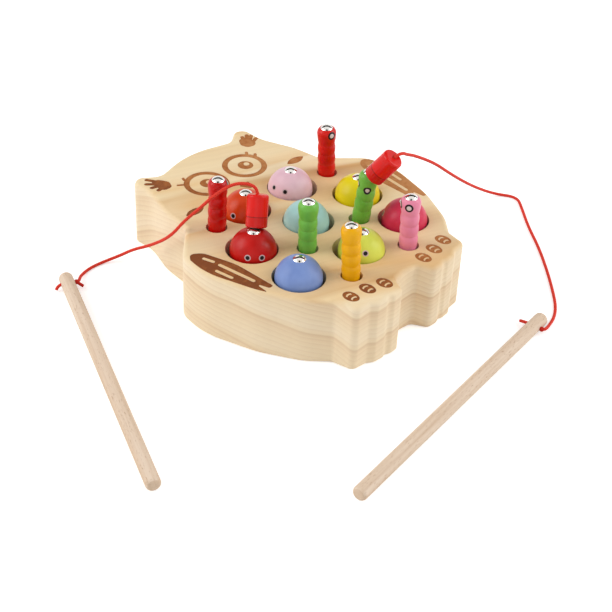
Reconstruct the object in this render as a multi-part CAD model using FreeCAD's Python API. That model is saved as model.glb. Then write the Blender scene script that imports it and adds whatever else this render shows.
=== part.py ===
"""Owl fishing toy: a wooden block with domed birds and ringed worms, two rods, cords and magnets.

Lengths are in millimetres. The block's underside lies in the plane z = 0, the owl's head points
to +Y, and X runs across the owl. Every movable piece is placed as it sits in the photograph.
"""
import math
import os

import FreeCAD
import Part

os.makedirs("parts", exist_ok=True)
V = FreeCAD.Vector
UP = V(0, 0, 1)

# block
block_length = 199.0
block_width = 174.6
block_thickness = 45.0
edge_round = 3.0
base_round = 1.0
mark_depth = 0.3

# wide holes and the domed birds in them
bird_hole_dia = 32.5
bird_hole_depth = 18.0
bird_clearance = 1.85
bird_centre_drop = 1.0
bird_skirt_taper = 1.0
bird_base_round = 3.0

# narrow holes and the ringed worms in them
worm_hole_dia = 13.3
worm_hole_depth = 18.0
worm_clearance = 1.35
worm_shank_show = 0.8
worm_rings = 3
worm_ring_pitch = 7.4
worm_ring_swell = 0.5
worm_head_length = 11.2
worm_head_swell = 0.9

# domed steel tacks
tack_dia = 8.0
tack_rise = 1.8
tack_land = 0.3
tack_shank_dia = 1.4
tack_shank_length = 8.0

# where each hole is drilled, seen from above
bird_hole_places = {
    "pink": (19.3, 22.5),
    "orange": (-21.5, 24.1),
    "red": (-49.2, -9.1),
    "cyan": (-1.9, -11.6),
    "yellow": (43.7, -12.1),
    "blue": (-50.0, -48.8),
    "lime": (-2.8, -54.3),
    "crimson": (42.8, -51.4),
}
worm_hole_places = {
    "red_left": (-48.1, 22.6),
    "red_back": (49.6, 19.7),
    "green_upright": (-24.4, -31.9),
    "green_leaning": (22.8, -31.9),
    "yellow": (-26.5, -69.5),
    "pink": (22.7, -72.1),
}

# rods
rod_dia = 8.9
rod_length = 200.4
rod_end_round = 2.2
rod_left_top = (-113.8, 91.9)
rod_left_heading = -115.86
rod_left_hole_inset = 7.6
rod_right_top = (69.3, -145.6)
rod_right_heading = -173.34
rod_right_hole_inset = 10.5

# cords and knots
cord_dia = 2.0
cord_hole_clearance = 0.15
cord_exit_length = 2.2
cord_mouth_length = 2.4
inner_knot_dia = 4.8
rod_knot_dia = 3.2
tail_start = 1.9
left_tail_step = (-1.0, 0.6, -3.2)
right_tail_step = (2.1, 4.6, -2.7)
stub_length = 5.2

# magnet capsules
capsule_dia = 13.3
capsule_cap_length = 13.5
capsule_base_length = 6.4
capsule_wall = 1.3
capsule_roof = 1.6
capsule_edge_round = 1.5
spigot_length = 3.0
spigot_clearance = 0.1
magnet_dia = 9.6
magnet_thickness = 3.0

# how the capsules cling: lean as a share of what the tack allows, heading, and slide over the tack
capsule_right_lean = 0.89
capsule_right_way = -69.25
capsule_right_slide = (1.36, -4.08)
capsule_left_lean = 0.965
capsule_left_way = 39.4
capsule_left_slide = (1.6, -1.2)

# values that follow from those above
top = block_thickness
bird_radius = bird_hole_dia / 2.0 - bird_clearance
bird_floor = top - bird_hole_depth
worm_radius = worm_hole_dia / 2.0 - worm_clearance
worm_shank_length = worm_hole_depth + worm_shank_show
worm_neck = worm_shank_length + worm_rings * worm_ring_pitch
worm_length = worm_neck + worm_head_length
worm_floor = top - worm_hole_depth
tack_radius = tack_dia / 2.0
land_radius = tack_radius + tack_land
tack_ball = (tack_radius ** 2 + tack_rise ** 2) / (2.0 * tack_rise)
rod_radius = rod_dia / 2.0
cord_radius = cord_dia / 2.0
cord_hole_radius = cord_radius + cord_hole_clearance
worm_lean_limit = math.degrees(math.atan(worm_clearance / (worm_hole_depth / 2.0)))

# corners of the right half of the owl's outline, from the crown down: x, y, plan radius
OUTLINE_HALF = [
    (32.0, 91.9, 10.0),
    (44.3, 100.9, 5.0),
    (51.0, 96.1, 6.5),
    (50.4, 80.5, 30.0),
    (58.8, 57.0, 40.0),
    (61.4, 36.5, 6.0),
    (84.6, 14.5, 16.0),
    (88.4, -7.0, 50.0),
    (78.3, -42.2, 60.0),
    (64.9, -67.6, 40.0),
    (53.0, -80.4, 5.0),
    (50.2, -94.6, 5.0),
    (39.4, -95.7, 4.0),
    (35.0, -98.5, 4.0),
    (28.4, -99.1, 4.0),
    (25.4, -98.1, 4.0),
    (21.8, -99.7, 4.0),
    (14.6, -99.5, 4.6),
    (9.5, -89.6, 4.0),
]
CROWN = (0.0, 101.0, 64.0)
ARCH = (0.0, -88.4, 20.0)
CLAW_MARKS = {
    -1: ((-42.6, -83.4), (-29.7, -84.8), (-18.2, -88.0)),
    1: ((42.6, -83.4), (30.8, -85.8), (18.9, -87.2)),
}
DRAWN_WIDTH = 174.6
DRAWN_LENGTH = 199.0


def rounded_face(corners, z=0.0):
    """Make a flat face from corners (x, y, radius), each corner rounded by a tangent arc."""
    count = len(corners)
    pieces = []
    ends = []
    for i in range(count):
        here = V(corners[i][0], corners[i][1], z)
        before = V(corners[i - 1][0], corners[i - 1][1], z) - here
        after_corner = corners[(i + 1) % count]
        after = V(after_corner[0], after_corner[1], z) - here
        before.normalize()
        after.normalize()
        half = before.getAngle(after) / 2.0
        reach = corners[i][2] / math.tan(half)
        start = here + before * reach
        end = here + after * reach
        middle = before + after
        middle.normalize()
        mid = here + middle * (corners[i][2] / math.sin(half) - corners[i][2])
        ends.append((start, mid, end))
    for i in range(count):
        start, mid, end = ends[i]
        pieces.append(Part.Arc(start, mid, end).toShape())
        following = ends[(i + 1) % count][0]
        if end.distanceToPoint(following) > 1e-6:
            pieces.append(Part.makeLine(end, following))
    return Part.Face(Part.Wire(pieces))


def prism(corners, z, height):
    """Make an upright solid over a rounded outline."""
    return rounded_face(corners, z).extrude(V(0, 0, height))


def disc(x, y, radius, z, height):
    """Make an upright cylinder."""
    return Part.makeCylinder(radius, height, V(x, y, z))


def stroke(start, end, width, z, height):
    """Make an upright solid of a brush stroke with round ends from start to end."""
    a = V(start[0], start[1], z)
    b = V(end[0], end[1], z)
    along = b - a
    along.normalize()
    side = V(-along.y, along.x, 0) * (width / 2.0)
    tip = along * (width / 2.0)
    edges = [
        Part.makeLine(a + side, b + side),
        Part.Arc(b + side, b + tip, b - side).toShape(),
        Part.makeLine(b - side, a - side),
        Part.Arc(a - side, a - tip, a + side).toShape(),
    ]
    return Part.Face(Part.Wire(edges)).extrude(V(0, 0, height))


def revolve(edges, turn=360.0):
    """Turn a closed profile in the XZ plane about the Z axis into a solid."""
    face = Part.Face(Part.Wire(edges))
    return face.revolve(V(0, 0, 0), UP, turn)


def line(a, b):
    """Make a profile line between two (radius, height) points."""
    return Part.makeLine(V(a[0], 0, a[1]), V(b[0], 0, b[1]))


def arc(a, b, c):
    """Make a profile arc through three (radius, height) points."""
    return Part.Arc(V(a[0], 0, a[1]), V(b[0], 0, b[1]), V(c[0], 0, c[1])).toShape()


def save(name, shape):
    """Write one node."""
    shape.exportStep("parts/" + name + ".step")
    boxes = shape.BoundBox
    print(name, len(shape.Solids), shape.isValid(), round(shape.Volume, 1),
          [round(v, 1) for v in (boxes.XMin, boxes.XMax, boxes.YMin, boxes.YMax, boxes.ZMin, boxes.ZMax)])


# how far each bird sits from its hole's centre, as a share of the clearance, in x and y
BIRD_SHIFT = {
    "pink": (-0.45, 0.5),
    "orange": (0.0, 0.0),
    "red": (0.3, -0.35),
    "cyan": (-0.45, 0.5),
    "yellow": (0.0, 0.0),
    "blue": (0.0, 0.0),
    "lime": (0.6, -0.65),
    "crimson": (0.25, -0.25),
}
# how far each worm leans, as shares of what its hole allows: across the view and away from it
WORM_LEAN = {
    "red_left": (0.14, 0.0),
    "red_back": (-0.27, -0.25),
    "green_upright": (-0.10, -0.28),
    "green_leaning": (0.73, 0.0),
    "yellow": (-0.30, 0.24),
    "pink": (-0.13, 0.0),
}
LEAN_ACROSS = V(0.683, -0.730, 0)
LEAN_AWAY = V(0.730, 0.683, 0)


def on_block(x, y):
    """Move a drawn place to where it lies on a block of the present width and length."""
    return x * block_width / DRAWN_WIDTH, y * block_length / DRAWN_LENGTH


def plan_scale():
    """Give the smaller of the block's two shares, by which plan radii and marks follow it."""
    return min(block_width / DRAWN_WIDTH, block_length / DRAWN_LENGTH)


def owl_outline():
    """List the corners of the whole outline, fitted to the block's width and length."""
    left = [(-x, y, r) for x, y, r in reversed(OUTLINE_HALF)]
    corners = [CROWN] + OUTLINE_HALF + [ARCH] + left
    return [on_block(x, y) + (r * plan_scale(),) for x, y, r in corners]


def mark_solids():
    """Make the shallow burnt marks: eyes, lashes, ear feathers, cheeks, beak, wings and claws."""
    z = top - mark_depth
    h = mark_depth + 1.0
    marks = []
    for x, y in ((-17.3, 63.5), (16.3, 62.8)):
        ring = disc(x, y, 14.9, z, h).cut(disc(x, y, 11.1, z, h))
        marks.append(ring)
        pupil = disc(x + 0.9, y, 5.2, z, h).cut(disc(x + 2.4, y + 0.6, 1.9, z, h))
        marks.append(pupil)
    for start, end in (((-29.0, 72.6), (-32.0, 74.6)), ((-24.9, 76.2), (-24.1, 78.5)),
                       ((27.3, 71.6), (29.2, 74.0)), ((29.9, 66.4), (32.0, 68.6))):
        marks.append(stroke(start, end, 2.2, z, h))
    left_ear = prism([(-43.5, 86.0, 4.0), (-41.0, 90.5, 2.0), (-36.5, 88.5, 4.0), (-33.0, 82.0, 4.0),
                      (-36.0, 75.6, 4.0), (-43.6, 76.0, 3.5)], z, h)
    for start, end in (((-38.0, 85.5), (-42.3, 93.2)), ((-39.5, 83.5), (-45.9, 89.4)),
                       ((-40.0, 82.0), (-46.2, 83.8)), ((-40.0, 79.8), (-45.0, 78.8))):
        left_ear = left_ear.fuse(stroke(start, end, 3.2, z, h))
    marks.append(left_ear.removeSplitter())
    right_ear = prism([(33.0, 83.0, 3.5), (37.0, 89.5, 4.0), (42.6, 89.0, 3.0), (44.0, 79.0, 4.0),
                       (39.5, 76.6, 4.0), (34.5, 78.0, 4.0)], z, h)
    for start, end in (((38.5, 84.5), (41.6, 90.3)), ((40.5, 84.0), (45.6, 90.1)),
                       ((41.0, 83.0), (47.2, 87.6)), ((41.0, 80.6), (47.6, 83.0))):
        right_ear = right_ear.fuse(stroke(start, end, 3.0, z, h))
    marks.append(right_ear.removeSplitter())
    for side in (-1, 1):
        cx = 45.6 * side
        cy = 44.6
        leaf = Part.Face(Part.Wire([
            Part.Arc(V(cx - 7.5, cy, z), V(cx, cy + 3.3, z), V(cx + 7.5, cy, z)).toShape(),
            Part.Arc(V(cx + 7.5, cy, z), V(cx, cy - 3.3, z), V(cx - 7.5, cy, z)).toShape(),
        ])).extrude(V(0, 0, h))
        marks.append(leaf)
        dx, dy = (-1.2, 2.9) if side > 0 else (0.0, 0.0)
        wing = prism([(side * (x + dx), y + dy, r) for x, y, r in (
            (80.2, 12.8, 3.2), (86.4, 5.0, 12.0), (85.6, -16.0, 40.0), (77.6, -46.6, 2.2),
            (74.0, -46.0, 1.4), (73.2, -36.6, 0.5), (70.6, -45.0, 1.5), (67.0, -44.6, 1.6),
            (67.2, -14.0, 40.0), (73.4, 8.0, 10.0))], z, h)
        for start, end, width in (((77.2, 3.4), (75.5, -2.9), 1.9), ((75.0, -8.0), (72.0, -33.2), 2.1),
                                  ((80.7, -11.2), (79.1, -22.2), 1.9)):
            wing = wing.cut(stroke((side * (start[0] + dx), start[1] + dy),
                                   (side * (end[0] + dx), end[1] + dy), width, z, h))
        marks.append(wing)
        for cx, cy in CLAW_MARKS[side]:
            claw = Part.Face(Part.Wire([Part.Ellipse(V(cx, cy + 5.6, z), V(cx + 4.3, cy, z),
                                                     V(cx, cy, z)).toShape()])).extrude(V(0, 0, h))
            for drop in (-1.9, 2.1):
                outer = disc(cx, cy + drop - 2.6, 3.4, z, h)
                inner = disc(cx, cy + drop - 2.6, 2.4, z, h)
                upper = Part.makeBox(4.0, 4.0, h, V(cx - 2.0, cy + drop - 0.9, z))
                claw = claw.cut(outer.cut(inner).common(upper))
            marks.append(claw)
    beak = prism([(-5.2, 47.6, 1.5), (5.2, 47.6, 1.5), (0.0, 38.4, 1.6)], z, h)
    marks.append(beak)
    return [follow_block(mark) for mark in marks]


def follow_block(mark):
    """Move a mark drawn for the drawn block to the block's present size."""
    centre = mark.BoundBox.Center
    if abs(plan_scale() - 1.0) > 1e-9:
        mark = mark.scaled(plan_scale(), V(centre.x, centre.y, top - mark_depth))
    x, y = on_block(centre.x, centre.y)
    mark.translate(V(x - centre.x, y - centre.y, 0))
    return mark


def make_board():
    """Make the owl block with its blind holes, rounded top edge and shallow marks."""
    block = prism(owl_outline(), 0.0, block_thickness)
    rim = [e for e in block.Edges if e.BoundBox.ZMin > top - 0.01]
    tightest = min(r for x, y, r in owl_outline())
    block = block.makeFillet(min(edge_round, 0.85 * tightest), rim)
    foot = [e for e in block.Edges if e.BoundBox.ZMax < 0.01]
    block = block.makeChamfer(base_round, foot)
    holes = [disc(*on_block(x, y), bird_hole_dia / 2.0, bird_floor, bird_hole_depth + 1.0)
             for x, y in bird_hole_places.values()]
    holes += [disc(*on_block(x, y), worm_hole_dia / 2.0, worm_floor, worm_hole_depth + 1.0)
              for x, y in worm_hole_places.values()]
    return block.cut(Part.makeCompound(holes + mark_solids())).Solids[0]


def tack_at_origin():
    """Make a domed tack whose head's flat underside lies at z = 0, with its shank below."""
    drop = tack_rise - tack_ball
    shank = tack_shank_dia / 2.0
    mid = math.radians(45.0) * 0.55
    crown_mid = (tack_ball * math.sin(mid), drop + tack_ball * math.cos(mid))
    tip = -tack_shank_length
    return revolve([
        arc((0, tack_rise), crown_mid, (tack_radius, 0)),
        line((tack_radius, 0), (shank, 0)),
        line((shank, 0), (shank, tip + 2.0)),
        line((shank, tip + 2.0), (0, tip)),
        line((0, tip), (0, tack_rise)),
    ])


def bird_land_height():
    """Find the height of a bird's flat tack land above its ball's centre."""
    return math.sqrt(bird_radius ** 2 - land_radius ** 2)


def bird_centre(name):
    """Place the ball centre of a bird."""
    hx, hy = on_block(*bird_hole_places[name])
    sx, sy = BIRD_SHIFT[name]
    return V(hx + sx * bird_clearance, hy + sy * bird_clearance, top - bird_centre_drop)


def make_bird(name):
    """Make a domed bird standing on its hole's floor, with the bore for its tack."""
    centre = bird_centre(name)
    land = bird_land_height()
    base = bird_floor - centre.z
    foot = bird_radius - bird_skirt_taper
    r = bird_base_round
    slope = bird_skirt_taper / -base
    shoulder = math.radians(35.0)
    body = revolve([
        line((0, land), (land_radius, land)),
        arc((land_radius, land), (bird_radius * math.cos(shoulder), bird_radius * math.sin(shoulder)),
            (bird_radius, 0)),
        line((bird_radius, 0), (foot + slope * r, base + r)),
        arc((foot + slope * r, base + r), (foot - r * 0.29, base + r * 0.29), (foot - r, base)),
        line((foot - r, base), (0, base)),
        line((0, base), (0, land)),
    ])
    body.translate(centre)
    tack = make_tack_on_bird(name)
    return body.cut(tack)


def make_tack_on_bird(name):
    """Place a tack on a bird's land."""
    tack = tack_at_origin()
    tack.translate(bird_centre(name) + V(0, 0, bird_land_height()))
    return tack


def worm_axis(name):
    """Find the direction in which a worm stands."""
    across, away = WORM_LEAN[name]
    lean = math.radians(math.hypot(across, away) * worm_lean_limit)
    way = LEAN_ACROSS * across + LEAN_AWAY * away
    way.normalize()
    return UP * math.cos(lean) + way * math.sin(lean)


def stand(shape, name):
    """Lean a worm's shape about the centre of its round nose and put it in its hole."""
    hx, hy = on_block(*worm_hole_places[name])
    pivot = worm_hole_depth / 2.0
    axis = worm_axis(name)
    shape.translate(V(0, 0, -pivot))
    tilt = FreeCAD.Rotation(UP, axis)
    shape.Placement = FreeCAD.Placement(V(hx, hy, worm_floor + pivot), tilt) * shape.Placement
    return shape


def worm_point(name, along):
    """Find the point on a worm's axis at a distance from its nose."""
    hx, hy = on_block(*worm_hole_places[name])
    pivot = worm_hole_depth / 2.0
    return V(hx, hy, worm_floor + pivot) + worm_axis(name) * (along - pivot)


def make_worm(name):
    """Make a turned worm: round nose, plain shank, rings, swollen head and flat land for its tack."""
    ball = worm_hole_depth / 2.0
    nose_rise = ball - math.sqrt(ball ** 2 - worm_radius ** 2)
    half = math.asin(worm_radius / ball) / 2.0
    low = (worm_radius, worm_shank_length)
    edges = [arc((0, 0), (ball * math.sin(half), ball - ball * math.cos(half)), (worm_radius, nose_rise)),
             line((worm_radius, nose_rise), low)]
    for i in range(worm_rings):
        high = (worm_radius, low[1] + worm_ring_pitch)
        edges.append(arc(low, (worm_radius + worm_ring_swell, low[1] + worm_ring_pitch / 2.0), high))
        low = high
    head = worm_radius + worm_head_swell
    cheek = (head, worm_length - 4.2)
    edges.append(arc(low, (head - 0.2, worm_neck + 0.38 * worm_head_length), cheek))
    edges.append(arc(cheek, (head - 0.55, worm_length - 1.5), (land_radius, worm_length)))
    edges.append(line((land_radius, worm_length), (0, worm_length)))
    edges.append(line((0, worm_length), (0, 0)))
    body = stand(revolve(edges), name)
    return body.cut(make_tack_on_worm(name))


def make_tack_on_worm(name):
    """Place a tack on a worm's land."""
    tack = tack_at_origin()
    tack.translate(V(0, 0, worm_length))
    return stand(tack, name)


def rod_frame(side):
    """Give a rod's upper end, its direction and its cross direction at the rod's height."""
    place, heading = (rod_left_top, rod_left_heading) if side == "left" else (rod_right_top, rod_right_heading)
    turn = math.radians(heading)
    along = V(math.cos(turn), math.sin(turn), 0)
    across = V(-along.y, along.x, 0)
    x, y = on_block(*place)
    return V(x, y, rod_radius), along, across


def rod_hole_centre(side):
    """Find the middle of a rod's cross hole."""
    start, along, across = rod_frame(side)
    inset = rod_left_hole_inset if side == "left" else rod_right_hole_inset
    return start + along * inset


def make_rod(side):
    """Make a round rod with rounded ends and a cross hole for its cord."""
    start, along, across = rod_frame(side)
    rod = Part.makeCylinder(rod_radius, rod_length, start, along)
    ends = [e for e in rod.Edges if isinstance(e.Curve, Part.Circle)]
    rod = rod.makeFillet(rod_end_round, ends)
    bore = Part.makeCylinder(cord_hole_radius, rod_dia + 2.0,
                             rod_hole_centre(side) - across * (rod_radius + 1.0), across)
    return rod.cut(bore)


def capsule_frame(side):
    """Give the centre of a capsule's flat end and its axis, as it clings to a tack."""
    if side == "right":
        ground_axis = worm_axis("green_leaning")
        ball_centre = worm_point("green_leaning", worm_length + tack_rise - tack_ball)
        land_drop = tack_ball - tack_rise
        reach = math.hypot(land_drop, land_radius)
        limit = math.atan2(land_radius, land_drop) - math.acos(tack_ball / reach)
        lean = limit * capsule_right_lean
        toward = capsule_right_way
        slide = capsule_right_slide
    else:
        ground_axis = UP
        rise = bird_land_height() + tack_rise - tack_ball
        ball_centre = bird_centre("red") + V(0, 0, rise)
        lean = math.acos((bird_radius - tack_ball) / rise) * capsule_left_lean
        toward = capsule_left_way
        slide = capsule_left_slide
    way = V(math.cos(math.radians(toward)), math.sin(math.radians(toward)), 0)
    flat = way - ground_axis * way.dot(ground_axis)
    flat.normalize()
    axis = ground_axis * math.cos(lean) + flat * math.sin(lean)
    down = way - axis * way.dot(axis)
    down.normalize()
    aside = axis.cross(down)
    contact = ball_centre + axis * tack_ball
    return contact + down * slide[0] + aside * slide[1], axis


def put(shape, origin, axis):
    """Move a shape made upright at the origin to a place and a direction."""
    shape.Placement = FreeCAD.Placement(origin, FreeCAD.Rotation(UP, axis)) * shape.Placement
    return shape


def make_capsule(side):
    """Make a capsule's cap, base, magnet and inner knot."""
    origin, axis = capsule_frame(side)
    outer = capsule_dia / 2.0
    inner = outer - capsule_wall
    seam = capsule_base_length
    full = capsule_base_length + capsule_cap_length
    roof = full - capsule_roof
    er = capsule_edge_round
    c = er * math.cos(math.radians(45.0))
    cap = revolve([
        line((inner, seam), (outer, seam)),
        line((outer, seam), (outer, full - er)),
        arc((outer, full - er), (outer - er + c, full - er + c), (outer - er, full)),
        line((outer - er, full), (cord_hole_radius, full)),
        line((cord_hole_radius, full), (cord_hole_radius, roof)),
        line((cord_hole_radius, roof), (inner, roof)),
        line((inner, roof), (inner, seam)),
    ])
    spigot = inner - spigot_clearance
    seat = magnet_dia / 2.0
    lip = 0.6
    base = revolve([
        line((seat, 0), (outer - lip, 0)),
        line((outer - lip, 0), (outer, lip)),
        line((outer, lip), (outer, seam)),
        line((outer, seam), (spigot, seam)),
        line((spigot, seam), (spigot, seam + spigot_length)),
        line((spigot, seam + spigot_length), (spigot - 1.2, seam + spigot_length)),
        line((spigot - 1.2, seam + spigot_length), (spigot - 1.2, seam)),
        line((spigot - 1.2, seam), (0, seam)),
        line((0, seam), (0, magnet_thickness)),
        line((0, magnet_thickness), (seat, magnet_thickness)),
        line((seat, magnet_thickness), (seat, 0)),
    ])
    magnet = Part.makeCylinder(seat, magnet_thickness)
    knot_radius = inner_knot_dia / 2.0
    knot = Part.makeSphere(knot_radius, V(0, 0, roof - knot_radius * 0.8))
    knot = knot.common(Part.makeCylinder(inner_knot_dia, inner_knot_dia, V(0, 0, roof - inner_knot_dia)))
    return [put(s, origin, axis) for s in (cap, base, magnet, knot)]


def capsule_point(side, along):
    """Find a point on a capsule's axis at a distance from its flat end."""
    origin, axis = capsule_frame(side)
    return origin + axis * along


def cord_points(side):
    """List the corners of a cord's route from inside its capsule, through its rod, to its tail."""
    full = capsule_base_length + capsule_cap_length
    inside = full - capsule_roof - inner_knot_dia * 0.4
    centre = rod_hole_centre(side)
    start, along, across = rod_frame(side)
    middle, step = (LEFT_ROUTE, left_tail_step) if side == "left" else (RIGHT_ROUTE, right_tail_step)
    emerge = centre - across * (rod_radius + tail_start)
    points = [capsule_point(side, inside), capsule_point(side, full + cord_exit_length)]
    points += [V(*p) for p in middle]
    points += [centre + across * (rod_radius + cord_mouth_length),
               centre + UP * (cord_hole_clearance / 2.0),
               emerge,
               emerge + V(*step)]
    return points


LEFT_ROUTE = [
    (-40.4, 1.7, 82.4),
    (-47.6, 9.2, 82.2),
    (-58.0, 14.4, 76.0),
    (-61.1, 22.4, 65.4),
    (-66.6, 31.7, 53.6),
    (-67.8, 43.8, 36.4),
    (-67.0, 63.2, 20.3),
    (-69.6, 77.0, 11.8),
    (-73.6, 86.2, 4.2),
    (-82.0, 91.6, 1.0),
    (-93.6, 92.4, 1.0),
    (-103.4, 89.2, 1.6),
    (-107.2, 85.6, 3.2),
]
RIGHT_ROUTE = [
    (34.9, -52.6, 96.3),
    (42.0, -49.9, 91.3),
    (54.9, -46.9, 83.9),
    (80.6, -43.2, 66.6),
    (99.6, -40.4, 51.1),
    (121.0, -37.1, 34.2),
    (142.3, -33.8, 18.5),
    (160.0, -31.9, 6.5),
    (169.7, -35.1, 1.2),
    (177.4, -47.6, 1.0),
    (168.3, -58.2, 1.0),
    (152.3, -75.3, 1.0),
    (136.0, -96.0, 1.0),
    (116.2, -117.3, 1.0),
    (95.8, -137.0, 1.0),
    (85.5, -144.9, 1.0),
    (77.0, -149.0, 1.0),
    (69.9, -151.0, 1.6),
    (64.7, -152.9, 3.3),
]


def sweep(name, points):
    """Make a cord's tube along straight runs joined by tangent arcs, and print the arcs' radii."""
    edges = []
    radii = []
    last = points[0]
    length = 0.0
    for i in range(1, len(points) - 1):
        back = points[i - 1] - points[i]
        ahead = points[i + 1] - points[i]
        shorter = min(back.Length, ahead.Length)
        back.normalize()
        ahead.normalize()
        half_turn = (math.pi - back.getAngle(ahead)) / 2.0
        reach = 0.45 * shorter
        radius = reach / math.tan(half_turn)
        a = points[i] + back * reach
        b = points[i] + ahead * reach
        bisector = back + ahead
        bisector.normalize()
        m = points[i] + bisector * (radius / math.cos(half_turn) - radius)
        edges.append(Part.makeLine(last, a))
        edges.append(Part.Arc(a, m, b).toShape())
        radii.append(round(radius, 1))
        length += last.distanceToPoint(a) + 2.0 * half_turn * radius
        last = b
    edges.append(Part.makeLine(last, points[-1]))
    length += last.distanceToPoint(points[-1])
    path = Part.Wire(edges)
    first = points[1] - points[0]
    ring = Part.Wire([Part.Circle(points[0], first, cord_radius).toShape()])
    pipe = path.makePipeShell([ring], True, True)
    expected = math.pi * cord_radius ** 2 * length
    print(name, "length", round(length, 1), "volume share", round(pipe.Volume / expected, 4), "radii", radii)
    return pipe


def make_rod_knot(side, cord):
    """Make the knot where a cord enters its rod, bored by the cord and seated on the rod."""
    start, along, across = rod_frame(side)
    radius = rod_knot_dia / 2.0
    place = rod_hole_centre(side) + across * (rod_radius + radius * 0.6)
    if side == "left":
        reach = math.sqrt(radius ** 2 - cord_radius ** 2)
        knot = revolve([
            arc((0, -radius), (radius, 0), (cord_radius, reach)),
            line((cord_radius, reach), (cord_radius, stub_length)),
            line((cord_radius, stub_length), (0, stub_length)),
            line((0, stub_length), (0, -radius)),
        ])
        knot = put(knot, place, V(0.30, -0.90, -0.32))
    else:
        knot = Part.makeSphere(radius, place)
    rod = Part.makeCylinder(rod_radius, rod_length, start, along)
    return knot.cut(rod).cut(cord)


def build():
    """Build and write every node."""
    save("board", make_board())
    for name in bird_hole_places:
        save("bird_" + name, make_bird(name))
    for name in worm_hole_places:
        save("worm_" + name, make_worm(name))
    save("bird_tacks", Part.makeCompound([make_tack_on_bird(n) for n in bird_hole_places]))
    save("worm_tacks", Part.makeCompound([make_tack_on_worm(n) for n in worm_hole_places]))
    for side in ("left", "right"):
        cap, base, magnet, knot = make_capsule(side)
        cord = sweep("cord_" + side, cord_points(side))
        save("rod_" + side, make_rod(side))
        save("capsule_cap_" + side, cap)
        save("capsule_base_" + side, base)
        save("magnet_" + side, magnet)
        save("inner_knot_" + side, knot.cut(cord))
        save("cord_" + side, cord)
        save("rod_knot_" + side, make_rod_knot(side, cord))


build()
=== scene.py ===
"""Looks of a wooden owl fishing toy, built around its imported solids.

The owl block, domed birds, ringed worms, steel tacks, rods and magnet capsules keep the shapes of
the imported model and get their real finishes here. The two cords are knitted along their routes.
Lengths are in millimetres unless a class says otherwise; what Blender gets is in metres.
"""
import logging
import math
from dataclasses import dataclass
from enum import Enum
from typing import Any, ClassVar, Dict, List, Optional, Sequence, Tuple

import bpy
from bpy.types import Material, Mesh, Node, NodeSocket, NodeTree, Object
from mathutils import Matrix, Vector


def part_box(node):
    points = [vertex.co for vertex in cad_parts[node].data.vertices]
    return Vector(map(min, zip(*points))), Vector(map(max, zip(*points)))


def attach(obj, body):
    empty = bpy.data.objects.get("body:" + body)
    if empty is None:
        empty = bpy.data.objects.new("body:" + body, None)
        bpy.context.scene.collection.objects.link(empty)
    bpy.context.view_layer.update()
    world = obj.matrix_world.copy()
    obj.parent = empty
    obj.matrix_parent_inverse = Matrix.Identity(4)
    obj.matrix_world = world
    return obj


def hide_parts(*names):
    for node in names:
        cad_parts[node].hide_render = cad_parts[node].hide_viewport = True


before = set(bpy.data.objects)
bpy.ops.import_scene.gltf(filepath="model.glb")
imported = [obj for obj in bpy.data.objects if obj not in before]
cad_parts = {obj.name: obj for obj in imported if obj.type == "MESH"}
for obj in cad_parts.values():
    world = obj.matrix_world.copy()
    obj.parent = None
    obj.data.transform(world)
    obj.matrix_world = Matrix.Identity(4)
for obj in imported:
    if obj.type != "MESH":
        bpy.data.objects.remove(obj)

LOG = logging.getLogger("owl_fishing_toy")
MM = 0.001
WHITE = "#ffffff"
PRINCIPLED = "ShaderNodeBsdfPrincipled"
WAVE_PERIOD = 0.314  # metres from ring to ring of a wave texture at a scale of 1
CAPSULE_PARTS = ("capsule_cap", "capsule_base", "magnet", "inner_knot")

Point = Tuple[float, float, float]
Colour = Tuple[float, float, float, float]
Socket = NodeSocket


class Side(Enum):
    """Which of the two fishing rods a piece belongs to."""

    LEFT = "left"
    RIGHT = "right"


class EyeStyle(Enum):
    """How an eye is printed on a painted piece."""

    DOT = "dark dot in a pale ring"
    RING = "dark ring round a pale spot"


# radius and colour of each ink of an eye, in printing order
EYE_INKS = {
    EyeStyle.DOT: ((1.95, "#cbb0b4"), (1.30, "#120d0d")),
    EyeStyle.RING: ((2.68, "#1c0f10"), (1.50, "#d8c8c6")),
}


def metres(point: Sequence[float]) -> Vector:
    """Turn a point in millimetres into a vector in metres."""
    return Vector([c * MM for c in point])


def linear(hex_colour: str) -> Colour:
    """Turn an sRGB hex colour into linear values.

    Args:
        hex_colour: A colour such as "#e6d2ad".

    Returns:
        Red, green, blue and an alpha of 1, as Blender's sockets take them.
    """
    channels = [int(hex_colour[i:i + 2], 16) / 255.0 for i in (1, 3, 5)]
    curved = [c / 12.92 if c <= 0.04045 else ((c + 0.055) / 1.055) ** 2.4 for c in channels]
    return (curved[0], curved[1], curved[2], 1.0)


def named(part: str, side: Side) -> str:
    """Give the name of one rod's piece, such as "magnet_left"."""
    return part + "_" + side.value


def placed(name: str, data: Any) -> Object:
    """Make an object and put it in the scene.

    Args:
        name: The object's name.
        data: Its mesh, curve, camera or light.

    Returns:
        The object.
    """
    thing = bpy.data.objects.new(name, data)
    bpy.context.scene.collection.objects.link(thing)
    return thing


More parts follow.
